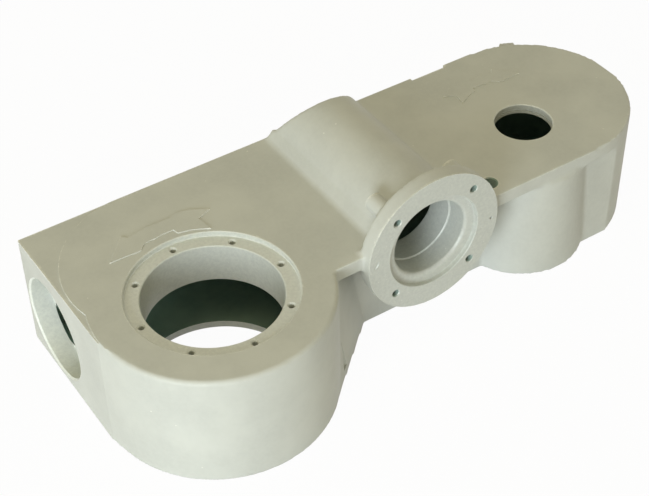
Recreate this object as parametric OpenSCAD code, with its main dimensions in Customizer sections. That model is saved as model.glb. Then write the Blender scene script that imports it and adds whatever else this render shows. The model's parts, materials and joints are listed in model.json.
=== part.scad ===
// Cast gearbox housing in one piece. The origin is on the main bore's axis, in the base plane.
// X runs along the housing to its round right end, -Y is the motor flange side, Z is up.

/* [Body] */
// Height from the base plane to the top face
height = 120; // [100:1:150]
// Radius of the round right end, half the width of the top plate
body_r = 95; // [85:1:105]
// Distance from the main bore's axis back to the body's centre line
body_y = 57; // [50:1:64]
// Distance from the main bore's axis to the centre of the right end
right_x = 391; // [370:1:430]
// Distance from the main bore's axis to the flat left face
left_x = 108; // [106:1:116]
// How far the top plate's round left end is centred left of the main bore
left_arc_x = 9; // [4:1:12]
// How much lower the back left corner lies than the top face
corner_step = 1; // [0.5:0.5:3]

/* [Walls] */
// Thickness of the side walls
wall = 8; // [6:0.5:10]
// Thickness of the top wall
top_wall = 10; // [8:0.5:14]
// Thickness of the floor
floor_wall = 8; // [6:0.5:12]
// Thickness of the left wall, which is the left bore's length
left_wall = 20; // [15:1:30]
// Height of the top plate's lip along the front
lip_h = 15; // [12:1:20]
// How far the lip stands out from the wall under it
lip_out = 6; // [3:0.5:8]

/* [Waist] */
// Distance of the waist's wall in front of the main bore's axis
waist_y = 4; // [1:0.5:7]
// Angle at which the wall leads from the drum back to the waist
shoulder_angle = 42; // [36:1:46]
// How far that wall lies inside the drum's tangent
shoulder_inset = 1; // [0.5:0.5:3]
// How far that wall leans back from the upright
shoulder_lean = 7; // [6:0.5:9]

/* [Main drum] */
// Outer radius of the drum
drum_r = 106.5; // [102:0.5:112]
// Radius of the drum's rounded edges
drum_edge_r = 4; // [2:0.5:6]
// Radius of the main bore
main_bore_r = 61.5; // [55:0.5:64]
// Length of the main bore below the recess
main_bore_len = 40; // [30:1:50]
// Wall of the main bore's seat
main_seat_wall = 10; // [6:1:14]
// Radius of the recess for the cover
recess_r = 75; // [73:0.5:78]
// Depth of the recess
recess_depth = 5; // [3:0.5:8]
// Diameter of the circle of cover screw holes
cover_pcd = 136; // [132:0.5:142]
// Number of cover screw holes
cover_holes = 8; // [4:1:12]
// Radius of the cover screw holes
cover_hole_r = 2.5; // [2:0.1:3]
// Depth of the cover screw holes
cover_hole_depth = 16; // [10:1:25]
// Radius of the opening in the floor
base_open_r = 77; // [70:0.5:85]
// Chamfer at the mouths of the turned bores
bore_chamfer = 0.8; // [0.4:0.1:1.2]

/* [Left bore] */
// Distance of the left bore behind the main bore's axis
left_bore_y = 98.5; // [95:0.5:102]
// Height of the left bore above the base plane
left_bore_z = 53.5; // [50:0.5:60]
// Radius of the left bore
left_bore_r = 48; // [40:0.5:50]
// Chamfer at the left bore's mouth
left_chamfer = 1.6; // [0.5:0.1:3]

/* [Right bore] */
// Distance from the main bore's axis to the right bore
right_bore_x = 362; // [355:1:370]
// Distance of the right bore behind the main bore's axis
right_bore_y = 33.5; // [28:0.5:40]
// Radius of the right bore
right_bore_r = 27.5; // [22:0.5:32]
// Depth of the retaining ring groove below the top face
ring_groove_depth = 6; // [4:0.5:7]
// Height of the retaining ring groove
ring_groove_h = 1.3; // [1:0.1:2]
// How deep the groove is cut into the bore's wall
ring_groove_cut = 1.2; // [0.5:0.1:2]

/* [Front boss] */
// Distance from the main bore's axis to the boss
boss_x = 351; // [345:1:358]
// Distance of the boss behind the main bore's axis
boss_y = 18; // [14:1:24]
// Radius of the boss at the base plane
boss_foot_r = 65; // [60:0.5:70]
// Radius of the boss under the lip
boss_top_r = 60; // [56:0.5:64]

/* [Motor flange] */
// Distance from the main bore's axis to the flange's axis
flange_x = 198; // [190:1:205]
// Height of the flange's axis above the base plane
flange_z = 109; // [100:1:114]
// Distance from the main bore's axis forward to the flange's face
flange_face = 46.5; // [42:0.5:55]
// Outer radius of the flange
flange_r = 70; // [65:1:75]
// Thickness of the flange
flange_t = 16; // [10:1:20]
// Diameter of the circle of flange screw holes
flange_pcd = 115; // [112:0.5:120]
// Radius of the flange screw holes
flange_hole_r = 3.4; // [2.8:0.1:4.5]
// Depth of the flange screw holes
flange_hole_depth = 26; // [18:1:34]
// Radius of the screw bosses behind the flange
screw_boss_r = 8; // [6:0.5:10]
// Length of the screw bosses behind the flange
screw_boss_len = 20; // [8:1:24]
// Width of the webs that join the screw bosses to the tube
screw_web_w = 12; // [6:0.5:14]
// Distance of the two small marks from the flange's axis
mark_offset = 63; // [58:0.5:66]
// Radius of the two small marks
mark_r = 1.5; // [1:0.1:2]
// Depth of the two small marks
mark_depth = 3; // [2:0.5:6]
// Radius of the centring recess
spigot_r = 47.5; // [44:0.5:50]
// Depth of the centring recess
spigot_depth = 5; // [3:0.5:7]

/* [Shaft tube] */
// Outer radius of the tube that carries the flange
tube_r = 48; // [46:0.5:54]
// Radius of the seal seat, the bore's front part
seal_seat_r = 37.5; // [37:0.5:40]
// Length of the seal seat
seal_seat_len = 22; // [15:1:30]
// Length of the sloped lead into the seal seat
seal_lead = 3.5; // [2:0.5:5]
// How much wider than the seal seat its lead opens
seal_lead_out = 4.5; // [2:0.5:6]
// Radius of the shaft bearing's bore
shaft_bore_r = 36; // [32:0.5:36.5]
// Length of the shaft bearing's bore
shaft_bore_len = 27; // [20:1:40]
// Chamfer at the inner end of the shaft bearing's bore
shaft_chamfer = 2; // [1:0.5:3]
// How far the tube's end leans, from its top to the back edge of the body
tube_lean = 33.5; // [20:0.5:40]
// Width of the sloped foot on each side of the tube, along the top face
foot_w = 5; // [3:0.5:8]
// Height of the tube's sloped foot
foot_h = 6; // [4:0.5:8]

/* [Plug hole] */
// Distance from the main bore's axis to the plug hole
plug_x = 278.5; // [270:0.5:290]
// Distance of the plug hole in front of the main bore's axis
plug_y = 20; // [14:0.5:22]
// Radius of the plug hole
plug_r = 7.6; // [5:0.1:9]
// Radius of the pad under the plug hole
plug_pad_r = 13; // [11:0.5:16]
// Depth of the pad below the top face
plug_pad_h = 18; // [14:1:24]

/* [Arrows] */
// Height of the raised direction arrows
arrow_h = 1; // [0.5:0.1:1.5]
// Place of the first arrow's middle along the housing
arrow_1_x = 0; // [-10:1:10]
// Place of the first arrow's middle across the housing
arrow_1_y = 93; // [90:1:96]
// Size of the second arrow as a share of the first
arrow_2_size = 0.8; // [0.7:0.05:0.9]
// Place of the second arrow's middle along the housing
arrow_2_x = 364; // [350:1:375]
// Place of the second arrow's middle across the housing
arrow_2_y = 109; // [100:1:115]

/* [Back edge] */
// Distance from the main bore's axis to the shallow notch in the back edge
notch_x = 315; // [300:1:330]
// Length of the notch
notch_w = 41; // [30:1:50]
// Depth of the notch
notch_d = 4; // [2:0.5:6]
// Angle of the back lug round the right end
lug_angle = 65; // [50:1:80]
// Width of the lug
lug_w = 16; // [10:1:22]
// How far the lug stands out
lug_out = 7; // [4:0.5:9]
// Height of the lug
lug_h = 24; // [15:1:40]
// How much lower the lug's top lies than the top face
lug_drop = 2; // [1:0.5:4]

/* [Hidden] */
$fn = 128;
over = 1;
front_y = body_y - body_r;
back_y = body_y + body_r;
wall_front_y = front_y + lip_out;
ceiling = height - top_wall;
inner_r = body_r - wall;
flange_back_y = -flange_face + flange_t;
spigot_y = -flange_face + spigot_depth;
seal_y = spigot_y + seal_seat_len;
shaft_end_y = seal_y + shaft_bore_len;
main_seat_z = height - recess_depth - main_bore_len;

// A flat outline with a straight left end at x0 and a round right end
module round_ended(x0, r, y0) {
  difference() {
    union() {
      translate([x0, y0]) square([right_x - x0, body_y + r - y0]);
      translate([right_x, body_y]) circle(r);
    }
    translate([x0 - 2 * r, y0 - 4 * r]) square([right_x - x0 + 6 * r, 4 * r]);
  }
}

// What lies between the drum and the waist up to height h, for a drum of radius r and a waist at y
module shoulder(r, y, h) {
  start = r * [sin(shoulder_angle), -cos(shoulder_angle)];
  end_x = start.x + (y - start.y) / tan(shoulder_angle);
  difference() {
    linear_extrude(h) polygon([[0, 0], start, [end_x, y], [end_x, body_y], [0, body_y]]);
    rotate([0, 0, shoulder_angle]) translate([-r, shoulder_inset - r, 0]) rotate([-shoulder_lean, 0, 0])
      translate([0, -r, -r]) cube([4 * r, r, r + 2 * h]);
  }
}

// The body's outline under the lip, with its waist between the drum and the front boss
module waisted(r, y0, waist) {
  difference() {
    round_ended(0, r, y0);
    translate([-over, y0 - over]) square([boss_x + over, waist - y0 + over]);
  }
}

// The wall under the lip, from the base plane to the top face
module side_wall() {
  linear_extrude(height) waisted(body_r, wall_front_y, -waist_y);
  shoulder(drum_r, -waist_y, height - lip_h);
  linear_extrude(height - corner_step) translate([-left_x, 0]) square([left_x, back_y]);
}

// The top plate with its lip along the front and its round left end
module top_plate() {
  translate([0, 0, height - lip_h]) linear_extrude(lip_h) {
    round_ended(0, body_r, front_y);
    intersection() {
      translate([-left_arc_x, body_y]) circle(body_r);
      translate([-left_x, 0]) square([left_x, back_y]);
    }
  }
}

// The drum round the main bore, with rounded edges
module drum() {
  rotate_extrude() difference() {
    square([drum_r, height]);
    for (z = [0, height]) rounding(drum_r, z, drum_edge_r);
  }
}

// What an edge at radius r and height z loses when it is rounded by e
module rounding(r, z, e) {
  inner = z > 0 ? z - e : z + e;
  difference() {
    translate([r - e, z > 0 ? z - e : z - over]) square([e + over, e + over]);
    translate([r - e, inner]) circle(e);
  }
}

// The tapered boss on the front, under the lip
module front_boss() {
  translate([boss_x, boss_y, 0]) cylinder(r1 = boss_foot_r, r2 = boss_top_r, h = height - lip_h);
}

// A cylinder along Y, from y0 to y1, on the flange's axis
module on_shaft(r, y0, y1) {
  translate([flange_x, y1, flange_z]) rotate([90, 0, 0]) cylinder(r = r, h = y1 - y0);
}

// The tube across the top, with what stands beside it, cut off at a slope above the back edge
module tube(r, y0, inset) {
  difference() {
    union() {
      on_shaft(r, y0, back_y - inset);
      children();
    }
    translate([flange_x - 2 * r, back_y - inset, height]) rotate([tube_lean, 0, 0])
      translate([0, 0, -r * tan(tube_lean)]) cube([4 * r, 4 * r, 4 * r]);
  }
}

// The sloped foot that joins both sides of the tube to the top face
module tube_foot() {
  rise = height - flange_z;
  edge = [sqrt(tube_r * tube_r - rise * rise) + foot_w, 0];
  up = [sqrt(tube_r * tube_r - (rise + foot_h) * (rise + foot_h)), foot_h] - edge;
  low = edge - up * over / foot_h;
  high = edge + up * (1 + over / foot_h);
  translate([flange_x, back_y - over / 2, height]) rotate([90, 0, 0])
    linear_extrude(back_y - flange_back_y + over)
      polygon([[-low.x, low.y], low, high, [-high.x, high.y]]);
}

// What a chamfer takes off the mouth of a hole whose face lies at z = 0
module mouth(r, size) {
  translate([0, 0, -size]) cylinder(r1 = r, r2 = r + size + over, h = size + over);
}

// The four places of the flange screws
module at_flange_screws(y) {
  for (a = [45:90:315])
    translate([flange_x + flange_pcd / 2 * cos(a), y, flange_z + flange_pcd / 2 * sin(a)])
      rotate([90, 0, 0]) children();
}

// The flange and the screw bosses behind it
module flange() {
  on_shaft(flange_r, -flange_face, flange_back_y);
  at_flange_screws(flange_back_y + screw_boss_len)
    cylinder(r = screw_boss_r, h = screw_boss_len);
  for (a = [45:90:315])
    translate([flange_x, flange_back_y - over, flange_z]) rotate([0, -a, 0])
      translate([tube_r - wall, 0, -screw_web_w / 2])
        cube([flange_pcd / 2 - tube_r + wall, screw_boss_len - over, screw_web_w]);
}

// The hollow inside, open to all the bores
module chamber() {
  translate([0, 0, floor_wall]) {
    cylinder(r = drum_r - wall, h = ceiling - floor_wall);
    shoulder(drum_r - wall, wall - waist_y, height - lip_h - floor_wall);
    linear_extrude(ceiling - floor_wall) {
      waisted(inner_r, wall_front_y + wall, wall - waist_y);
      translate([left_wall - left_x, 0]) square([left_x - left_wall + over, body_y + inner_r]);
    }
    translate([boss_x, boss_y, 0]) cylinder(r = boss_top_r - wall, h = height - lip_h - floor_wall);
  }
  tube(tube_r - wall, shaft_end_y, wall);
}

// The seats that reach down from the top wall into the hollow
module seats() {
  translate([0, 0, main_seat_z]) cylinder(r = main_bore_r + main_seat_wall, h = height - main_seat_z);
  translate([plug_x, -plug_y, height - plug_pad_h]) cylinder(r = plug_pad_r, h = plug_pad_h);
  on_shaft(tube_r, -flange_face, shaft_end_y);
}

// The main bore with its recess, its cover screw holes and the opening in the floor
module main_bore() {
  translate([0, 0, main_seat_z - over]) cylinder(r = main_bore_r, h = height);
  translate([0, 0, height - recess_depth]) cylinder(r = recess_r, h = recess_depth + over);
  translate([0, 0, height - recess_depth]) mouth(main_bore_r, bore_chamfer);
  translate([0, 0, height]) mouth(recess_r, bore_chamfer);
  for (a = [0:360 / cover_holes:359])
    rotate([0, 0, a]) translate([cover_pcd / 2, 0, height - recess_depth - cover_hole_depth])
      cylinder(r = cover_hole_r, h = cover_hole_depth + over);
  translate([0, 0, -over]) cylinder(r = base_open_r, h = floor_wall + 2 * over);
}

// The round bore in the left face
module left_bore() {
  translate([-left_x - over, left_bore_y, left_bore_z]) rotate([0, 90, 0])
    cylinder(r = left_bore_r, h = left_wall + 2 * over);
  translate([-left_x, left_bore_y, left_bore_z]) rotate([0, -90, 0]) mouth(left_bore_r, left_chamfer);
}

// The bore at the right, with its retaining ring groove
module right_bore() {
  translate([right_bore_x, right_bore_y, ceiling - over]) {
    cylinder(r = right_bore_r, h = top_wall + 2 * over);
    translate([0, 0, over + top_wall]) mouth(right_bore_r, bore_chamfer);
    translate([0, 0, over + top_wall - ring_groove_depth - ring_groove_h])
      cylinder(r = right_bore_r + ring_groove_cut, h = ring_groove_h);
  }
}

// The bores and the screw holes of the flange
module flange_bores() {
  on_shaft(spigot_r, -flange_face - over, spigot_y);
  on_shaft(seal_seat_r, spigot_y - over, seal_y);
  on_shaft(shaft_bore_r, seal_y - over, shaft_end_y + over);
  translate([flange_x, -flange_face, flange_z]) rotate([90, 0, 0]) mouth(spigot_r, bore_chamfer);
  translate([flange_x, spigot_y + seal_lead, flange_z]) rotate([90, 0, 0])
    cylinder(r1 = seal_seat_r, r2 = seal_seat_r + seal_lead_out * (1 + over / seal_lead),
             h = seal_lead + over);
  translate([flange_x, shaft_end_y, flange_z]) rotate([-90, 0, 0]) mouth(shaft_bore_r, shaft_chamfer);
  at_flange_screws(-flange_face + flange_hole_depth)
    cylinder(r = flange_hole_r, h = flange_hole_depth + over);
  for (side = [-1, 1])
    translate([flange_x + side * mark_offset, -flange_face + mark_depth, flange_z])
      rotate([90, 0, 0]) cylinder(r = mark_r, h = mark_depth + over);
}

// The threaded plug hole through the top plate
module plug_hole() {
  translate([plug_x, -plug_y, height - plug_pad_h - over]) cylinder(r = plug_r, h = plug_pad_h + 2 * over);
}

// A flat arrow with a split tail, pointing along -X
module arrow_outline() {
  polygon([[-55, -12], [-31, 12], [-27, 6], [-20, 9], [26, 11], [52, 1],
           [40, -7], [44, -22], [20, -12], [-16, -6], [-22, -14]]);
}

// The raised arrows on the top face
module arrows() {
  translate([arrow_1_x, arrow_1_y, height - over]) linear_extrude(arrow_h + over) arrow_outline();
  translate([arrow_2_x, arrow_2_y, height - over]) linear_extrude(arrow_h + over)
    mirror([1, 0]) scale([arrow_2_size, arrow_2_size]) arrow_outline();
}

// The lug on the back of the right end
module lug() {
  translate([right_x, body_y, height - lug_drop - lug_h]) rotate([0, 0, lug_angle])
    translate([inner_r + wall / 2, -lug_w / 2, 0]) cube([wall / 2 + lug_out, lug_w, lug_h]);
}

// The shallow notch in the back edge of the top plate
module notch() {
  translate([notch_x, back_y - notch_d, height - lip_h])
    cube([notch_w, notch_d + over, lip_h + over]);
}

module gearbox_housing() {
  color([0.71, 0.70, 0.65]) difference() {
    union() {
      difference() {
        union() {
          side_wall();
          drum();
          top_plate();
          front_boss();
          tube(tube_r, -flange_face, 0) tube_foot();
          lug();
        }
        chamber();
      }
      seats();
      flange();
      arrows();
    }
    main_bore();
    left_bore();
    right_bore();
    flange_bores();
    plug_hole();
    notch();
  }
}

gearbox_housing();
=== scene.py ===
# Cast gearbox housing with its turned seats, on a plain white floor.
# Lengths are in metres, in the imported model's own frame.
import json
from math import cos, pi, radians, sin, tan

import bmesh
import bpy
from mathutils import Matrix, Vector


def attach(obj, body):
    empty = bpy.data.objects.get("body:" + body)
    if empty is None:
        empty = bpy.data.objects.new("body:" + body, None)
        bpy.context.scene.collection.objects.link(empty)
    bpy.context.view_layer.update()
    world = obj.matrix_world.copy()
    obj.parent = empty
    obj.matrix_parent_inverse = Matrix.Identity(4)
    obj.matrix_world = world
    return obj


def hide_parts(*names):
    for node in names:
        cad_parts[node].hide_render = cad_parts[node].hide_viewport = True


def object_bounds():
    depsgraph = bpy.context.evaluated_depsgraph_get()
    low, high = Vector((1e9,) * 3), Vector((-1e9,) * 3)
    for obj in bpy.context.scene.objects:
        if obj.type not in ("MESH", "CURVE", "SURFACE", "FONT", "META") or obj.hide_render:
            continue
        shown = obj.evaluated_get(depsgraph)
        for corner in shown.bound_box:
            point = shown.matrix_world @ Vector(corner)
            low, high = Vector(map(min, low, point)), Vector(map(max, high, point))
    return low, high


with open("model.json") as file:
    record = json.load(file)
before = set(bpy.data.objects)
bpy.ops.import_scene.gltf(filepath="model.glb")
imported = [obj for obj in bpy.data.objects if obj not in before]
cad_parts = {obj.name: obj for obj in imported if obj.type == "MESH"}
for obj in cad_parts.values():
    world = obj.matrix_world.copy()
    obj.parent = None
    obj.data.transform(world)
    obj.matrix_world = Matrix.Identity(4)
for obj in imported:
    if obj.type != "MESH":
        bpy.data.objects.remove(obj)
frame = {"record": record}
cadLow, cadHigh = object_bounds()
mounts = {mount["name"]: mount for mount in frame["record"]["mounts"]}
mm = 0.001
past = 1 * mm  # how far a cutter reaches past what it cuts
slotCount = 5
castSlot, uprightSlot, frontSlot, leftSlot, insidePaintedShadeSlot = range(slotCount)  # order of the casting's finishes; the last is a dark painted shade for the hollow and the thread grooves


def mountAt(name):  # place of a mount's middle and its radius
    return Vector(mounts[name]["pos_m"]), mounts[name]["dims"]["r_mm"] * mm


def toZ(at):  # a turned shape stands up from this place
    return Matrix.Translation(at)


def toFront(at):  # a turned shape's height points along -Y
    return Matrix.Translation(at) @ Matrix.Rotation(pi / 2, 4, "X")


def toLeft(at):  # a turned shape's height points along -X
    return Matrix.Translation(at) @ Matrix.Rotation(-pi / 2, 4, "Y")


# Shapes that the casting and its cutters are put together from
shaping = dict(roundSteps=128, drillSteps=32, joinWithin=0.001 * mm)
thread = dict(steps=32, coarseSteps=20, overlap=0.2 * mm,
              depth=0.54, flank=0.44, crest=0.1)  # these three are shares of the pitch


def addBlock(bm, low, high):
    low, high = Vector(low), Vector(high)
    place = Matrix.Translation((low + high) / 2) @ Matrix.Diagonal((*(high - low), 1))
    bmesh.ops.create_cube(bm, size=1, matrix=place)


def addRound(bm, place, radius, low, high, topRadius=None, steps=shaping["roundSteps"]):
    middle = place @ Matrix.Translation((0, 0, (low + high) / 2))
    bmesh.ops.create_cone(bm, cap_ends=True, segments=steps, radius1=radius,
                          radius2=topRadius or radius, depth=high - low, matrix=middle)


def addRaised(bm, outline, low, high, place=Matrix()):
    verts = [bm.verts.new((x, y, low)) for x, y in outline]
    grown = bmesh.ops.extrude_face_region(bm, geom=[bm.faces.new(verts)])["geom"]
    top = [v for v in grown if isinstance(v, bmesh.types.BMVert)]
    bmesh.ops.translate(bm, vec=(0, 0, high - low), verts=top)
    bmesh.ops.transform(bm, matrix=place, verts=verts + top)


def addTurned(bm, place, profile, steps=shaping["roundSteps"]):  # radius and height, from axis to axis
    verts = [bm.verts.new((radius, 0, height)) for radius, height in profile]
    edges = [bm.edges.new(pair) for pair in zip(verts, verts[1:])]
    before = set(bm.verts) - set(verts)
    bmesh.ops.spin(bm, geom=verts + edges, cent=(0, 0, 0), axis=(0, 0, 1), angle=2 * pi,
                   steps=steps, use_merge=True)
    made = [v for v in bm.verts if v not in before]
    bmesh.ops.remove_doubles(bm, verts=made, dist=shaping["joinWithin"])
    made = [v for v in bm.verts if v not in before]
    bmesh.ops.transform(bm, matrix=place, verts=made)


def addThread(bm, place, radius, pitch, low, high, steps=thread["steps"]):  # helical ridge round a hole
    turns = (high - low) / pitch
    inner, outer = radius - thread["overlap"], radius + thread["depth"] * pitch
    flank, crest = thread["flank"] * pitch, thread["crest"] * pitch
    corners = [(inner, low), (outer, low + flank), (outer, low + flank + crest),
               (inner, low + 2 * flank + crest)]
    before = set(bm.verts)
    verts = [bm.verts.new((x, 0, z)) for x, z in corners]
    bmesh.ops.spin(bm, geom=[bm.faces.new(verts)], cent=(0, 0, 0), axis=(0, 0, 1),
                   dvec=(0, 0, pitch / steps), angle=2 * pi * turns, steps=int(turns * steps))
    bmesh.ops.transform(bm, matrix=place, verts=[v for v in bm.verts if v not in before])


def makeObject(name, bm, slot=castSlot):
    bmesh.ops.recalc_face_normals(bm, faces=bm.faces)
    for face in bm.faces:
        face.material_index = slot
    mesh = bpy.data.meshes.new(name)
    bm.to_mesh(mesh)
    bm.free()
    made = bpy.data.objects.new(name, mesh)
    bpy.context.scene.collection.objects.link(made)
    while len(mesh.materials) < slotCount:  # empty until the finishes are set
        mesh.materials.append(None)
    return made


def bake(piece):  # a piece's modifiers become part of its mesh
    graph = bpy.context.evaluated_depsgraph_get()
    mesh = bpy.data.meshes.new_from_object(piece.evaluated_get(graph))
    piece.modifiers.clear()
    old, piece.data = piece.data, mesh
    bpy.data.meshes.remove(old)


def combine(piece, other, operation):
    step = piece.modifiers.new(operation.lower(), "BOOLEAN")
    step.operation, step.object, step.solver = operation, other, "MANIFOLD"
    bake(piece)
    bpy.data.objects.remove(other)


def castOver(piece, grain, rounds):  # runs the shapes together and rounds every corner, as a mould does
    skin = piece.modifiers.new("skin", "REMESH")
    skin.mode, skin.voxel_size, skin.adaptivity = "VOXEL", grain, 0
    soft = piece.modifiers.new("soft", "SMOOTH")
    soft.factor, soft.iterations = 0.5, rounds
    bake(piece)


def trim(bm, at, normal):  # takes off what lies past a plane and closes the cut
    cut = bmesh.ops.bisect_plane(bm, geom=bm.verts[:] + bm.edges[:] + bm.faces[:], plane_co=at,
                                 plane_no=normal, clear_outer=True)["geom_cut"]
    bmesh.ops.contextual_create(bm, geom=[e for e in cut if isinstance(e, bmesh.types.BMEdge)])


def gather(piece, parts):  # the parts' shells join the piece's mesh
    for part in parts:
        whole = bmesh.new()
        whole.from_mesh(piece.data)
        whole.from_mesh(part.data)
        whole.to_mesh(piece.data)
        whole.free()
        bpy.data.objects.remove(part)


# The casting's outer skin
casting = dict(height=120 * mm, bodyRadius=95 * mm, bodyY=57 * mm, rightX=391 * mm, leftX=-108 * mm,
               wall=8 * mm, topWall=10 * mm, floorWall=8 * mm, leftWall=20 * mm,
               lipHeight=15 * mm, lipOut=6 * mm)
mould = dict(grain=2 * mm, rounds=5, coreGrain=2.5 * mm, coreRounds=3)
backY = casting["bodyY"] + casting["bodyRadius"]
lipY = casting["bodyY"] - casting["bodyRadius"]
wallY = lipY + casting["lipOut"]
topZ = casting["height"]
ceilingZ = topZ - casting["topWall"]
underLip = topZ - casting["lipHeight"]

waist = dict(y=-4 * mm, angle=radians(42), inset=1 * mm, lean=radians(7))
drum = dict(radius=106.5 * mm, edge=2.5 * mm, edgeTurn=15, seatWall=10 * mm, seatLow=75 * mm,
            wedgeX=-60 * mm, wedgeBack=1 * mm)
boss = dict(x=351 * mm, y=18 * mm, foot=65 * mm, top=60 * mm)
tube = dict(radius=48 * mm, lean=radians(33.5), shaftEnd=7.5 * mm,
            fillet=9 * mm, filletOut=0.55, filletBack=0.25, filletEnd=2 * mm)
flange = dict(x=198 * mm, z=109 * mm, face=-46.5 * mm, radius=70 * mm, thick=16 * mm, facing=2 * mm,
              screwCircle=115 * mm, screwAngles=(45, 135, 225, 315), bossSteps=64, bossCrisp=0.4 * mm,
              bossRadius=8 * mm, bossLength=20 * mm, webWidth=12 * mm)
lug = dict(angle=radians(65), width=16 * mm, out=7 * mm, height=24 * mm, drop=2 * mm)
plugHole = dict(padRadius=13 * mm, padDepth=18 * mm, pitch=2 * mm, edge=0.6 * mm)
flangeAxis = Vector((flange["x"], 0, flange["z"]))
screwTurns = [Matrix.Rotation(radians(angle), 4, "Z") for angle in flange["screwAngles"]]


def shoulder(radius, y, low, high):  # the leaning wall between the drum and the waist
    turn, lean = waist["angle"], waist["lean"]
    out = Vector((sin(turn), -cos(turn), 0))
    start = radius * out
    endX = start.x + (y - start.y) / tan(turn)
    bm = bmesh.new()
    addRaised(bm, [(0, 0), start.xy, (endX, y), (endX, casting["bodyY"]), (0, casting["bodyY"])], low, high)
    trim(bm, (radius - waist["inset"]) * out, cos(lean) * out + Vector((0, 0, sin(lean))))
    return makeObject("shoulder", bm)


def roundEnd(radius, y, low, high):  # the right end, cut off along the front
    bm = bmesh.new()
    addRound(bm, toZ((casting["rightX"], casting["bodyY"], 0)), radius, low, high)
    trim(bm, Vector((0, y, 0)), Vector((0, -1, 0)))
    return makeObject("roundEnd", bm)


def addWedge(bm):  # lets the left face run straight into the drum's round
    left, radius = casting["leftX"], drum["radius"]
    tangentX = radius * radius / left
    tangentY = -(radius * radius - tangentX * tangentX) ** 0.5
    addRaised(bm, [(left, drum["wedgeBack"]), (left, 0), (tangentX, tangentY), (drum["wedgeX"], 0),
                   (drum["wedgeX"], drum["wedgeBack"])], 0, topZ)


def sideWall():
    bm = bmesh.new()
    addBlock(bm, (casting["leftX"], 0, 0), (0, backY, topZ))
    addBlock(bm, (0, waist["y"], 0), (casting["rightX"], backY, topZ))
    addBlock(bm, (boss["x"], wallY, 0), (casting["rightX"], 0, topZ))
    addWedge(bm)
    wall = makeObject("wall", bm)
    gather(wall, [roundEnd(casting["bodyRadius"], wallY, 0, topZ),
                  shoulder(drum["radius"], waist["y"], 0, underLip)])
    return wall


def addDrum(bm):  # the round body, with its edges rounded
    edge, flat = drum["edge"], drum["radius"] - drum["edge"]
    turns = [radians(angle) for angle in range(0, 91, drum["edgeTurn"])]
    bend = [(flat + edge * cos(turn), edge * sin(turn)) for turn in turns]
    addTurned(bm, Matrix(), [(0, 0)] + [(r, edge - z) for r, z in reversed(bend)]
              + [(r, topZ - edge + z) for r, z in bend] + [(0, topZ)])


def addLip(bm):  # the top plate overhangs the body's front and round end
    addBlock(bm, (0, lipY, underLip), (casting["rightX"], backY, topZ))
    addRound(bm, toZ((casting["rightX"], casting["bodyY"], 0)), casting["bodyRadius"], underLip, topZ)


def tubeShape(radius, low, inset):  # cut off at a slope above the back edge
    bm = bmesh.new()
    addRound(bm, toFront(flangeAxis), radius, inset - backY, -low)
    trim(bm, Vector((0, backY - inset, topZ)), Vector((0, cos(tube["lean"]), sin(tube["lean"]))))
    return makeObject("tube", bm)


def tubeFillets():  # the soft strips where the tube runs into the top
    made = []
    half = (tube["radius"] ** 2 - (topZ - flange["z"]) ** 2) ** 0.5
    size = tube["fillet"]
    for side in (-1, 1):
        inX = flange["x"] + side * (half - size / 2)
        outX = flange["x"] + side * (half + size * tube["filletOut"])
        upperX = flange["x"] + side * (half - size * tube["filletBack"])
        outline = [(inX, topZ - size / 2), (outX, topZ - size / 2), (outX, topZ), (upperX, topZ + size),
                   (inX, topZ + size)]
        bm = bmesh.new()
        addRaised(bm, outline, tube["filletEnd"] - backY, -flange["face"] - flange["thick"],
                  toFront((0, 0, 0)))
        made.append(makeObject("fillet", bm))
    return made


def screwBosses(grown):  # a boss behind each flange screw
    made = []
    back = -flange["face"] - flange["thick"]
    for turn in screwTurns:
        bm = bmesh.new()
        addRound(bm, toFront(flangeAxis) @ turn @ toZ((flange["screwCircle"] / 2, 0, 0)),
                 flange["bossRadius"] + grown, back - flange["bossLength"] - grown, back + past,
                 steps=flange["bossSteps"])
        made.append(makeObject("screwBoss", bm))
    return made


def screwWebs():  # between the screw bosses and the tube
    made = []
    back = -flange["face"] - flange["thick"]
    for turn in screwTurns:
        bm = bmesh.new()
        addBlock(bm, (tube["radius"] - casting["wall"], -flange["webWidth"] / 2, back - flange["bossLength"]),
                 (flange["screwCircle"] / 2, flange["webWidth"] / 2, back + past))
        bmesh.ops.transform(bm, matrix=toFront(flangeAxis) @ turn, verts=bm.verts)
        made.append(makeObject("screwWeb", bm))
    return made


def lugShape():  # a small block on the round end
    at = (casting["rightX"], casting["bodyY"], topZ - lug["drop"] - lug["height"])
    wallOut = casting["bodyRadius"]
    bm = bmesh.new()
    addBlock(bm, (wallOut - casting["wall"], -lug["width"] / 2, 0),
             (wallOut + lug["out"], lug["width"] / 2, lug["height"]))
    bmesh.ops.transform(bm, matrix=toZ(at) @ Matrix.Rotation(lug["angle"], 4, "Z"), verts=bm.verts)
    return makeObject("lug", bm)


def outerSkin():
    skin = sideWall()
    front = flange["face"] - flange["facing"]
    plug = mountAt("plug_hole")[0]
    bm = bmesh.new()
    addDrum(bm)
    addLip(bm)
    addRound(bm, toZ((boss["x"], boss["y"], 0)), boss["foot"], 0, underLip + past, boss["top"])
    addRound(bm, toFront(flangeAxis), flange["radius"], -flange["face"] - flange["thick"], -front)
    addRound(bm, toZ((plug.x, plug.y, 0)), plugHole["padRadius"], topZ - plugHole["padDepth"], topZ - past)
    gather(skin, [makeObject("shapes", bm), lugShape(), tubeShape(tube["radius"], front, 0)]
           + screwBosses(0) + screwWebs() + tubeFillets())
    castOver(skin, mould["grain"], mould["rounds"])
    for sharp in screwBosses(flange["bossCrisp"]):  # so that the bosses' ends stay crisp
        combine(skin, sharp, "UNION")
    return skin


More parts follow.
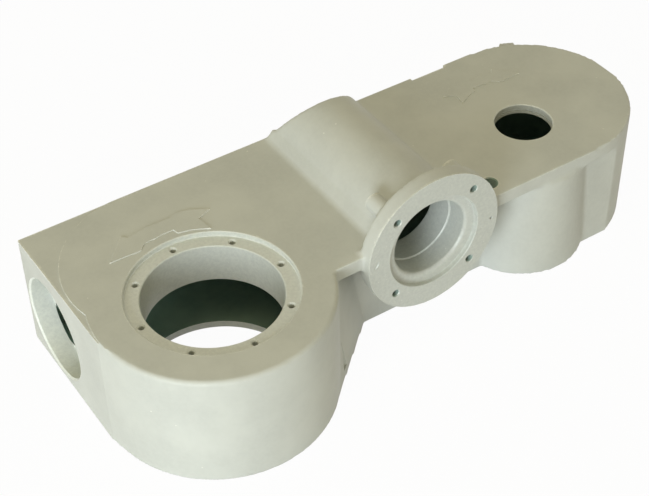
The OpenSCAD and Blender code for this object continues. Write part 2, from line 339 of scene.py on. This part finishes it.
# The hollow inside, with the seats that reach down into it left standing
def hollow():
    wall, floor = casting["wall"], casting["floorWall"]
    bm = bmesh.new()
    addRound(bm, Matrix(), drum["radius"] - wall, floor, ceilingZ)
    addBlock(bm, (casting["leftX"] + casting["leftWall"], 0, floor), (0, backY - wall, ceilingZ))
    addBlock(bm, (0, waist["y"] + wall, floor), (casting["rightX"], backY - wall, ceilingZ))
    addBlock(bm, (boss["x"], wallY + wall, floor), (casting["rightX"], 0, ceilingZ))
    addRound(bm, toZ((boss["x"], boss["y"], 0)), boss["top"] - wall, floor, underLip)
    space = makeObject("hollow", bm, insidePaintedShadeSlot)
    gather(space, [roundEnd(casting["bodyRadius"] - wall, wallY + wall, floor, ceilingZ),
                   shoulder(drum["radius"] - wall, waist["y"] + wall, floor, underLip),
                   tubeShape(tube["radius"] - wall, tube["shaftEnd"], wall)])
    castOver(space, mould["coreGrain"], mould["coreRounds"])
    bm = bmesh.new()
    addRound(bm, Matrix(), mountAt("main_bore")[1] + drum["seatWall"], drum["seatLow"], topZ)
    seats = makeObject("seats", bm, insidePaintedShadeSlot)
    bm = bmesh.new()
    addRound(bm, toFront(flangeAxis), tube["radius"], -tube["shaftEnd"], -flange["face"])
    combine(seats, makeObject("shaftSeat", bm, insidePaintedShadeSlot), "UNION")
    combine(space, seats, "DIFFERENCE")
    # every face of the hollow gets the dark painted-shade finish
    for face in space.data.polygons:
        face.material_index = insidePaintedShadeSlot
    return space


# What the lathe and the drill take away
turned = dict(chamfer=0.8 * mm, recessDepth=5 * mm, recessCorner=0.6 * mm, boreLength=40 * mm,
              grooveDepth=6 * mm, grooveHeight=1.3 * mm, grooveCut=1.2 * mm, leftEdge=1.6 * mm)
coverScrew = dict(count=8, circle=136 * mm, radius=2.5 * mm, depth=16 * mm, edge=1.3 * mm)
flangeScrew = dict(radius=3.4 * mm, depth=26 * mm, edge=1 * mm, threadDepth=20 * mm, pitch=1.25 * mm)
drillPoint = 0.55  # height of a drill's point, as a share of its radius
flangeFace = toFront((flange["x"], flange["face"], flange["z"]))


def cutAway(piece, name, slot, *shapes):  # each shape adds itself to the cutter
    bm = bmesh.new()
    for shape in shapes:
        shape(bm)
    combine(piece, makeObject(name, bm, slot), "DIFFERENCE")


def drilled(bm, place, radius, depth, edge):  # a blind hole with a drill point
    addTurned(bm, place, [(0, past), (radius + edge + past, past), (radius, -edge), (radius, -depth),
                          (0, -depth - drillPoint * radius)], steps=shaping["drillSteps"])


def mainBore(bm):
    edge, corner = turned["chamfer"], turned["recessCorner"]
    bore, seat = mountAt("main_bore")[1], topZ - turned["recessDepth"] - turned["boreLength"]
    recess, floor = mountAt("cover_recess")[1], topZ - turned["recessDepth"]
    addTurned(bm, Matrix(), [(0, topZ + past), (recess + edge + past, topZ + past), (recess, topZ - edge),
                             (recess, floor + corner), (recess - corner, floor), (bore + edge, floor),
                             (bore, floor - edge), (bore, seat + edge), (bore + edge + past, seat - past),
                             (0, seat - past)])
    opening = mountAt("base_opening")[1]
    addTurned(bm, Matrix(), [(0, -past), (opening + edge + past, -past), (opening, edge),
                             (opening, casting["floorWall"] + past), (0, casting["floorWall"] + past)])


def leftBore(bm):
    centre, radius = mountAt("left_bore")
    edge, depth = turned["leftEdge"], casting["leftWall"]
    addTurned(bm, toLeft((casting["leftX"], centre.y, centre.z)),
              [(0, past), (radius + edge + past, past), (radius, -edge), (radius, -depth - past),
               (0, -depth - past)])


def rightBore(bm):  # with a groove for a ring
    centre, radius = mountAt("right_bore")
    edge, low = turned["chamfer"], -casting["topWall"] - past
    upper = -turned["grooveDepth"]
    lower, groove = upper - turned["grooveHeight"], radius + turned["grooveCut"]
    addTurned(bm, toZ((centre.x, centre.y, topZ)),
              [(0, past), (radius + edge + past, past), (radius, -edge), (radius, upper), (groove, upper),
               (groove, lower), (radius, lower), (radius, low), (0, low)])


# The flange's bore from its face inwards: corner and slope are pairs of a radius and a depth
motorSeat = dict(edge=0.6 * mm, spigotDepth=3.6 * mm, corner=((-0.4 * mm, 4.5 * mm), (-1.5 * mm, 5 * mm)),
                 slope=((41.5 * mm, 5.4 * mm), (39.6 * mm, 6 * mm), (38.2 * mm, 7.2 * mm)),
                 sealDepth=9 * mm, sealEnd=27 * mm, shaftEdge=0.9 * mm, shaftEnd=54 * mm, shaftFlare=2 * mm)


def flangeBore(bm):
    spigot, seal, shaft = (mountAt(name)[1] for name in ("motor_spigot", "seal_seat", "shaft_bore"))
    edge, chamfer, flare = motorSeat["edge"], motorSeat["shaftEdge"], motorSeat["shaftFlare"]
    step, end = -motorSeat["sealEnd"], -motorSeat["shaftEnd"]
    mouth = [(0, past), (spigot + edge + past, past), (spigot, -edge), (spigot, -motorSeat["spigotDepth"])]
    corner = [(spigot + out, -depth) for out, depth in motorSeat["corner"]]
    slope = [(radius, -depth) for radius, depth in motorSeat["slope"]]
    inner = [(seal, -motorSeat["sealDepth"]), (seal, step), (shaft + chamfer, step), (shaft, step - chamfer),
             (shaft, end + flare), (shaft + flare, end), (shaft + flare, end - past), (0, end - past)]
    addTurned(bm, flangeFace, mouth + corner + slope + inner)


def coverHoles(bm):
    for index in range(coverScrew["count"]):
        turn = Matrix.Rotation(index * 2 * pi / coverScrew["count"], 4, "Z")
        drilled(bm, turn @ toZ((coverScrew["circle"] / 2, 0, topZ - turned["recessDepth"])),
                coverScrew["radius"], coverScrew["depth"], coverScrew["edge"])


def flangeScrewPlaces():
    return [flangeFace @ turn @ toZ((flange["screwCircle"] / 2, 0, 0)) for turn in screwTurns]


def flangeHoles(bm):
    for spot in flangeScrewPlaces():
        drilled(bm, spot, flangeScrew["radius"], flangeScrew["depth"], flangeScrew["edge"])


def flangeThreads(bm):
    for spot in flangeScrewPlaces():
        addThread(bm, spot, flangeScrew["radius"], flangeScrew["pitch"], -flangeScrew["threadDepth"], past,
                  steps=thread["coarseSteps"])


def plugDrill(bm):
    centre, radius = mountAt("plug_hole")
    drilled(bm, toZ((centre.x, centre.y, topZ)), radius, plugHole["padDepth"] + past, plugHole["edge"])


def plugThread(bm):
    centre, radius = mountAt("plug_hole")
    addThread(bm, toZ((centre.x, centre.y, topZ)), radius, plugHole["pitch"],
              -plugHole["padDepth"] - past, past)


flangeMark = dict(at=(63 * mm, -3 * mm, 0), radius=1.5 * mm, depth=2 * mm, edge=0.3 * mm,
                  nickAt=(-62 * mm, 3 * mm, 0.4 * mm), nickTurn=radians(-35),
                  nickHalf=(1.6 * mm, 4.6 * mm, 1.3 * mm))


def flangeMarks(bm):  # a small drilled mark at the right and a slanted nick at the left
    drilled(bm, flangeFace @ toZ(flangeMark["at"]), flangeMark["radius"], flangeMark["depth"],
            flangeMark["edge"])
    nick = flangeFace @ toZ(flangeMark["nickAt"]) @ Matrix.Rotation(flangeMark["nickTurn"], 4, "Z")
    bmesh.ops.create_uvsphere(bm, u_segments=24, v_segments=12, radius=1,
                              matrix=nick @ Matrix.Diagonal((*flangeMark["nickHalf"], 1)))


def facing(bm):  # the flange's face is milled flat
    half, deep = 100 * mm, 20 * mm  # more than what stands there
    addBlock(bm, (flange["x"] - half, flange["face"] - deep, flange["z"] - half),
             (flange["x"] + half, flange["face"], flange["z"] + half))


def machine(piece):
    cutAway(piece, "facing", frontSlot, facing)
    cutAway(piece, "bores", uprightSlot, mainBore, rightBore)
    cutAway(piece, "flangeBore", frontSlot, flangeBore)
    cutAway(piece, "leftBore", leftSlot, leftBore)
    cutAway(piece, "coverHoles", uprightSlot, coverHoles, plugDrill)
    cutAway(piece, "flangeHoles", frontSlot, flangeHoles, flangeMarks)
    # the thread grooves take the dark painted-shade finish, a painted shade between the bright crests
    cutAway(piece, "plugThread", insidePaintedShadeSlot, plugThread)
    cutAway(piece, "flangeThreads", insidePaintedShadeSlot, flangeThreads)


# The two raised arrows on the top, with their outline in millimetres
arrow = dict(height=1 * mm, bevel=0.5 * mm, place=(0, 93 * mm), secondPlace=(364 * mm, 109 * mm),
             secondSize=0.8, spacing=2, wave=0.3, waveTurn=12.9)
arrowOutline = [(-56, -15), (-25, -15.5), (-22, -12), (-18, -9), (-9, -9), (1.5, -7.5), (10.5, -7.5),
                (12, -13.5), (23, -16.5), (39, -24.5), (37, -7.5), (51.5, -1.5), (36, 8.5), (24, 11), (15, 8),
                (-6.5, 9.5), (-27.5, 5.5), (-32, 11)]


def roughOutline(points):  # the outline with a point every 2 mm or so, each a little off
    rough = []
    for (x0, y0), (x1, y1) in zip(points, points[1:] + points[:1]):
        length = ((x1 - x0) ** 2 + (y1 - y0) ** 2) ** 0.5
        steps = max(1, int(length / arrow["spacing"]))
        for step in range(steps):
            share = step / steps
            wave = arrow["wave"] * sin(arrow["waveTurn"] * len(rough)) if step else 0
            rough.append(((x0 + (x1 - x0) * share) * mm, (y0 + (y1 - y0) * share + wave) * mm))
    return rough


def addArrow(bm, place):
    before = set(bm.faces)
    height = arrow["height"]
    addRaised(bm, roughOutline(arrowOutline), -past, height)
    edges = {e for f in bm.faces if f not in before for e in f.edges}
    top = [e for e in edges if all(abs(v.co.z - height) < 0.01 * mm for v in e.verts)]
    bmesh.ops.bevel(bm, geom=top, affect="EDGES", offset=arrow["bevel"], segments=2, profile=0.5,
                    material=-1)
    verts = {v for f in bm.faces if f not in before for v in f.verts}
    bmesh.ops.transform(bm, matrix=place, verts=list(verts))


def raiseArrows(piece):
    bm = bmesh.new()
    addArrow(bm, toZ((*arrow["place"], topZ)))
    size = arrow["secondSize"]
    addArrow(bm, toZ((*arrow["secondPlace"], topZ)) @ Matrix.Diagonal((-size, size, 1, 1)))
    combine(piece, makeObject("arrows", bm), "UNION")


lowCorner = dict(step=1 * mm, arcX=-9 * mm, arcSteps=192)
notch = dict(left=315 * mm, right=356 * mm, depth=4 * mm)


def lowerCorner(piece):  # the back left corner lies a little lower than the round plate
    bm = bmesh.new()
    addBlock(bm, (casting["leftX"] - past, -past, topZ - lowCorner["step"]),
             (0, backY + past, topZ + past))
    corner = makeObject("corner", bm)
    for centre, radius in (((lowCorner["arcX"], casting["bodyY"], 0), casting["bodyRadius"]),
                           ((0, 0, 0), drum["radius"])):
        bm = bmesh.new()
        addRound(bm, toZ(centre), radius, 0, topZ + 3 * past, steps=lowCorner["arcSteps"])
        combine(corner, makeObject("keep", bm), "DIFFERENCE")
    combine(piece, corner, "DIFFERENCE")


def cutNotch(piece):  # in the lip's back edge
    bm = bmesh.new()
    addBlock(bm, (notch["left"], backY - notch["depth"], underLip),
             (notch["right"], backY + past, topZ + past))
    combine(piece, makeObject("notch", bm), "DIFFERENCE")


smoothing = dict(flatWithin=radians(0.4), sharpFrom=radians(34))


def finishMesh(piece):
    bm = bmesh.new()
    bm.from_mesh(piece.data)
    bmesh.ops.dissolve_limit(bm, angle_limit=smoothing["flatWithin"], use_dissolve_boundaries=False,
                             verts=bm.verts, edges=bm.edges, delimit={"MATERIAL"})
    for vert in bm.verts:  # nothing stands out of the solid's box
        vert.co = [min(max(c, low), high) for c, low, high in zip(vert.co, cadLow, cadHigh)]
    bmesh.ops.recalc_face_normals(bm, faces=bm.faces)
    for face in bm.faces:
        face.smooth = True
    bm.to_mesh(piece.data)
    bm.free()
    piece.data.set_sharp_from_angle(angle=smoothing["sharpFrom"])
    weighted = piece.modifiers.new("weighted", "WEIGHTED_NORMAL")
    weighted.keep_sharp = True


housing = outerSkin()
print("outer skin cast")
cutNotch(housing)
lowerCorner(housing)
raiseArrows(housing)
combine(housing, hollow(), "DIFFERENCE")
print("hollow cored")
machine(housing)
print("bores and holes machined")
finishMesh(housing)
housing.name = housing.data.name = "gearboxCasting"
print("casting has", sum(len(f.vertices) - 2 for f in housing.data.polygons), "triangles")


# Finishes: each noise and speck value is a number of cells per metre
def newMaterial(name, colour, metallic, roughness):
    made = bpy.data.materials.new(name)
    made.use_nodes = True
    nodes, links = made.node_tree.nodes, made.node_tree.links
    shader = nodes["Principled BSDF"]
    shader.inputs["Base Color"].default_value = (*colour, 1)
    shader.inputs["Metallic"].default_value = metallic
    shader.inputs["Roughness"].default_value = roughness
    return made, nodes, links, shader


def objectPoint(nodes, links, shift=(0, 0, 0)):
    where = nodes.new("ShaderNodeTexCoord")
    mapping = nodes.new("ShaderNodeMapping")
    mapping.inputs["Location"].default_value = shift
    links.new(where.outputs["Object"], mapping.inputs["Vector"])
    return mapping.outputs["Vector"]


def noise(nodes, links, scale, detail=3, roughness=0.55):
    made = nodes.new("ShaderNodeTexNoise")
    for name, value in (("Scale", scale), ("Detail", detail), ("Roughness", roughness)):
        made.inputs[name].default_value = value
    links.new(objectPoint(nodes, links), made.inputs["Vector"])
    return made.outputs["Fac"]


def reckon(nodes, links, operation, *values):  # values are numbers or sockets
    made = nodes.new("ShaderNodeMath")
    made.operation = operation
    for socket, value in zip(made.inputs, values):
        if isinstance(value, (int, float)):
            socket.default_value = value
        else:
            links.new(value, socket)
    return made.outputs[0]


def between(nodes, links, value, low, high):  # 0 below low, 1 above high
    made = nodes.new("ShaderNodeMapRange")
    made.interpolation_type = "SMOOTHSTEP"
    made.inputs["From Min"].default_value = low
    made.inputs["From Max"].default_value = high
    links.new(value, made.inputs["Value"])
    return made.outputs["Result"]


def mixed(nodes, links, factor, first, second):
    made = nodes.new("ShaderNodeMix")
    made.data_type = "RGBA"
    links.new(factor, made.inputs[0])
    for socket, value in ((made.inputs[6], first), (made.inputs[7], second)):
        if isinstance(value, tuple):
            socket.default_value = (*value, 1)
        else:
            links.new(value, socket)
    return made.outputs[2]


def edgeWearAndHighlight(nodes, links, reach, least, most):  # high where a sharp outer edge is near: rubbed wear there, and painted highlight along the edge
    near = nodes.new("ShaderNodeAmbientOcclusion")
    near.inside, near.only_local, near.samples = True, True, 6
    near.inputs["Distance"].default_value = reach
    edge = reckon(nodes, links, "SUBTRACT", 1, near.outputs["AO"])
    rough = reckon(nodes, links, "MULTIPLY_ADD", noise(nodes, links, 420, 4, 0.7), 0.9, -0.45)
    patchy = reckon(nodes, links, "MULTIPLY_ADD", noise(nodes, links, 45, 2), 0.5, -0.25)
    whole = reckon(nodes, links, "ADD", edge, reckon(nodes, links, "ADD", rough, patchy))
    return between(nodes, links, whole, least, most)


def specks(nodes, links, scale, size, share):  # a few small round spots
    cells = nodes.new("ShaderNodeTexVoronoi")
    cells.inputs["Scale"].default_value = scale
    links.new(objectPoint(nodes, links), cells.inputs["Vector"])
    split = nodes.new("ShaderNodeSeparateColor")
    links.new(cells.outputs["Color"], split.inputs["Color"])
    chosen = reckon(nodes, links, "LESS_THAN", split.outputs[0], share)
    radius = reckon(nodes, links, "MULTIPLY_ADD", split.outputs[1], size, 0.4 * size)
    spot = reckon(nodes, links, "LESS_THAN", cells.outputs["Distance"], radius)
    return reckon(nodes, links, "MULTIPLY", chosen, spot)


def relief(nodes, links, shader, layers):  # layers of height value, strength and depth
    last = None
    for height, strength, depth in layers:
        bump = nodes.new("ShaderNodeBump")
        bump.inputs["Strength"].default_value = strength
        bump.inputs["Distance"].default_value = depth
        links.new(height, bump.inputs["Height"])
        if last:
            links.new(last, bump.inputs["Normal"])
        last = bump.outputs["Normal"]
    links.new(last, shader.inputs["Normal"])


brightWearAndHighlight = (0.88, 0.88, 0.84)  # where an edge or a speck is rubbed bright; on the edges this is also painted highlight
cast = dict(dark=(0.54, 0.555, 0.535), light=(0.62, 0.635, 0.61), roughness=0.55,
            # the hollow's dark teal tones are painted shade
            insideShadeDark=(0.17, 0.26, 0.23), insideShadeLight=(0.27, 0.37, 0.32), insideRoughness=0.6,
            metallic=0.06, specular=0.4, patches=14, mottle=260, mottleShare=0.35,
            specks=75, speckSize=0.045, speckShare=0.3, speckTone=0.6,
            wearAndHighlightReach=4.5 * mm, wearAndHighlightFrom=0.42, wearAndHighlightTo=0.55, grain=1500, grainDepth=0.25 * mm,
            lumps=90, lumpDepth=0.6 * mm, speckDepth=0.2 * mm)


def castFinish(name, dark, light, roughness, edgesWornAndHighlit=True):
    made, nodes, links, shader = newMaterial(name, light, cast["metallic"], roughness)
    shader.inputs["Specular IOR Level"].default_value = cast["specular"]
    patches = between(nodes, links, noise(nodes, links, cast["patches"], 4, 0.6), 0.3, 0.7)
    tone = mixed(nodes, links, patches, dark, light)
    mottle = between(nodes, links, noise(nodes, links, cast["mottle"], 3, 0.6), 0.25, 0.75)
    tone = mixed(nodes, links, reckon(nodes, links, "MULTIPLY", mottle, cast["mottleShare"]), tone, light)
    dots = specks(nodes, links, cast["specks"], cast["speckSize"], cast["speckShare"])
    tone = mixed(nodes, links, reckon(nodes, links, "MULTIPLY", dots, cast["speckTone"]), tone, brightWearAndHighlight)
    # sharp edges brightened: rubbed wear together with painted highlight
    if edgesWornAndHighlit:
        edges = edgeWearAndHighlight(nodes, links, cast["wearAndHighlightReach"], cast["wearAndHighlightFrom"], cast["wearAndHighlightTo"])
        tone = mixed(nodes, links, edges, tone, brightWearAndHighlight)
    links.new(tone, shader.inputs["Base Color"])
    relief(nodes, links, shader, [(noise(nodes, links, cast["grain"], 3, 0.7), 0.3, cast["grainDepth"]),
                                  (noise(nodes, links, cast["lumps"], 2, 0.5), 0.25, cast["lumpDepth"]),
                                  (dots, 0.5, cast["speckDepth"])])
    return made


lathe = dict(dark=(0.53, 0.55, 0.53), light=(0.6, 0.62, 0.59), metallic=0.1, roughness=0.42, streaks=320,
             specks=240, speckSize=0.12, speckShare=0.35, speckTone=0.35,
             wearAndHighlightReach=1.2 * mm, wearAndHighlightFrom=0.4, wearAndHighlightTo=0.6, turningPitch=1.1 * mm, turningDepth=0.05 * mm,
             # the three levels brighten copies of the finish as painted light, for faces turned up, to the
             # front and to the left
             grain=1500, grainDepth=0.1 * mm, uprightPaintedLight=1.15, frontPaintedLight=1, leftPaintedLight=1.4)


def turnedFinish(name, axis, at, level):  # axis is the lathe's, at is a point on it; level scales the tones as painted light for the way the faces turn
    dark, light = (tuple(level * c for c in lathe[tone]) for tone in ("dark", "light"))
    made, nodes, links, shader = newMaterial(name, light, lathe["metallic"], lathe["roughness"])
    streaks = between(nodes, links, noise(nodes, links, lathe["streaks"], 4, 0.7), 0.3, 0.7)
    tone = mixed(nodes, links, streaks, dark, light)
    dots = specks(nodes, links, lathe["specks"], lathe["speckSize"], lathe["speckShare"])
    tone = mixed(nodes, links, reckon(nodes, links, "MULTIPLY", dots, lathe["speckTone"]), tone, brightWearAndHighlight)
    # sharp edges brightened: rubbed wear together with painted highlight
    edges = edgeWearAndHighlight(nodes, links, lathe["wearAndHighlightReach"], lathe["wearAndHighlightFrom"], lathe["wearAndHighlightTo"])
    tone = mixed(nodes, links, edges, tone, brightWearAndHighlight)
    links.new(tone, shader.inputs["Base Color"])
    split = nodes.new("ShaderNodeSeparateXYZ")
    links.new(objectPoint(nodes, links, [-c for c in at]), split.inputs[0])
    along = split.outputs[axis]
    across = [split.outputs[i] for i in range(3) if i != axis]
    squares = [reckon(nodes, links, "MULTIPLY", c, c) for c in across]
    radius = reckon(nodes, links, "SQRT", reckon(nodes, links, "ADD", *squares))
    feed = reckon(nodes, links, "ADD", radius, along)
    turns = reckon(nodes, links, "MULTIPLY", feed, 2 * pi / lathe["turningPitch"])
    rings = reckon(nodes, links, "SINE", turns)
    grain = noise(nodes, links, lathe["grain"], 2, 0.6)
    relief(nodes, links, shader, [(rings, 0.12, lathe["turningDepth"]), (grain, 0.2, lathe["grainDepth"])])
    return made


finishes = {
    castSlot: castFinish("castAluminium", cast["dark"], cast["light"], cast["roughness"]),
    uprightSlot: turnedFinish("turnedUpright", 2, (0, 0, 0), lathe["uprightPaintedLight"]),
    frontSlot: turnedFinish("turnedFront", 1, flangeAxis, lathe["frontPaintedLight"]),
    leftSlot: turnedFinish("turnedLeft", 0, mountAt("left_bore")[0], lathe["leftPaintedLight"]),
    insidePaintedShadeSlot: castFinish("coredAluminiumPaintedShade", cast["insideShadeDark"], cast["insideShadeLight"],
                           cast["insideRoughness"], edgesWornAndHighlit=False)}
for slot, made in finishes.items():
    housing.data.materials[slot] = made

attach(housing, "root")
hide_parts("gearbox_housing")
print("finishes set")


# Studio
studio = dict(floorColour=(0.85, 0.85, 0.84), floorRoughness=0.9, floorSize=12, floorGap=0.2 * mm,
              shadowShare=0.035, worldColour=(1, 0.91, 0.57), worldLevel=0.37)
lamps = dict(key=dict(azimuth=-54, elevation=9, distance=2.4, size=1.2, energy=42, colour=(0.88, 0.965, 1)),
             above=dict(azimuth=-75, elevation=68, distance=2.4, size=1.2, energy=9, colour=(1, 0.9, 0.55)))
camera = dict(place=(-0.4158, -0.8182, 0.9844), azimuth=-32.8685, elevation=41.8965,
              roll=radians(-1.0794), lens=83.18, sensor=36)


def whiteToCamera(nodes, links):  # what the camera and the metal see as white
    path = nodes.new("ShaderNodeLightPath")
    seen = reckon(nodes, links, "ADD", path.outputs["Is Camera Ray"], path.outputs["Is Glossy Ray"])
    seen = reckon(nodes, links, "ADD", seen, path.outputs["Is Transmission Ray"])
    seen.node.use_clamp = True
    return seen


def layWhiteOver(nodes, links, share, lit, white, output):
    mix = nodes.new("ShaderNodeMixShader")
    links.new(share, mix.inputs["Fac"])
    links.new(lit.outputs[0], mix.inputs[1])
    links.new(white.outputs[0], mix.inputs[2])
    links.new(mix.outputs[0], nodes[output].inputs["Surface"])


def makeFloor():
    bm = bmesh.new()
    bmesh.ops.create_grid(bm, x_segments=1, y_segments=1, size=studio["floorSize"])
    bmesh.ops.translate(bm, vec=(0, 0, cadLow.z - studio["floorGap"]), verts=bm.verts)
    floor = makeObject("floor", bm)
    made, nodes, links, shader = newMaterial("floor", studio["floorColour"], 0, studio["floorRoughness"])
    share = reckon(nodes, links, "MULTIPLY", whiteToCamera(nodes, links), 1 - studio["shadowShare"])
    layWhiteOver(nodes, links, share, shader, nodes.new("ShaderNodeEmission"), "Material Output")
    floor.data.materials[0] = made


def makeWorld():
    world = bpy.data.worlds.new("studio")
    bpy.context.scene.world = world
    world.use_nodes = True
    nodes, links = world.node_tree.nodes, world.node_tree.links
    light = nodes["Background"]
    light.inputs["Color"].default_value = (*studio["worldColour"], 1)
    light.inputs["Strength"].default_value = studio["worldLevel"]
    white = nodes.new("ShaderNodeBackground")
    white.inputs["Color"].default_value = (1, 1, 1, 1)
    layWhiteOver(nodes, links, whiteToCamera(nodes, links), light, white, "World Output")


def towards(azimuth, elevation):  # degrees from the front and up from level
    azimuth, elevation = radians(azimuth), radians(elevation)
    return Vector((sin(azimuth) * cos(elevation), -cos(azimuth) * cos(elevation), sin(elevation)))


def addLamp(name, azimuth, elevation, distance, size, energy, colour):
    lamp = bpy.data.lights.new(name, "AREA")
    lamp.shape, lamp.size, lamp.energy, lamp.color = "DISK", size, energy, colour
    made = bpy.data.objects.new(name, lamp)
    bpy.context.scene.collection.objects.link(made)
    back = towards(azimuth, elevation)
    made.location = (cadLow + cadHigh) / 2 + distance * back
    made.rotation_euler = back.to_track_quat("Z", "Y").to_euler()


def makeCamera():
    back = towards(camera["azimuth"], camera["elevation"])
    right = Vector((0, 0, 1)).cross(back).normalized()
    up = back.cross(right)
    level, lean = cos(camera["roll"]), sin(camera["roll"])
    right, up = level * right + lean * up, level * up - lean * right
    lens = bpy.data.cameras.new("camera")
    lens.lens, lens.sensor_width, lens.sensor_fit = camera["lens"], camera["sensor"], "HORIZONTAL"
    made = bpy.data.objects.new("camera", lens)
    turn = Matrix((right, up, back)).transposed().to_4x4()
    made.matrix_world = Matrix.Translation(camera["place"]) @ turn
    bpy.context.scene.collection.objects.link(made)
    bpy.context.scene.camera = made


makeFloor()
makeWorld()
for name, lamp in lamps.items():
    addLamp(name, **lamp)
makeCamera()
bpy.context.scene.view_settings.view_transform = "Standard"
print("studio set")
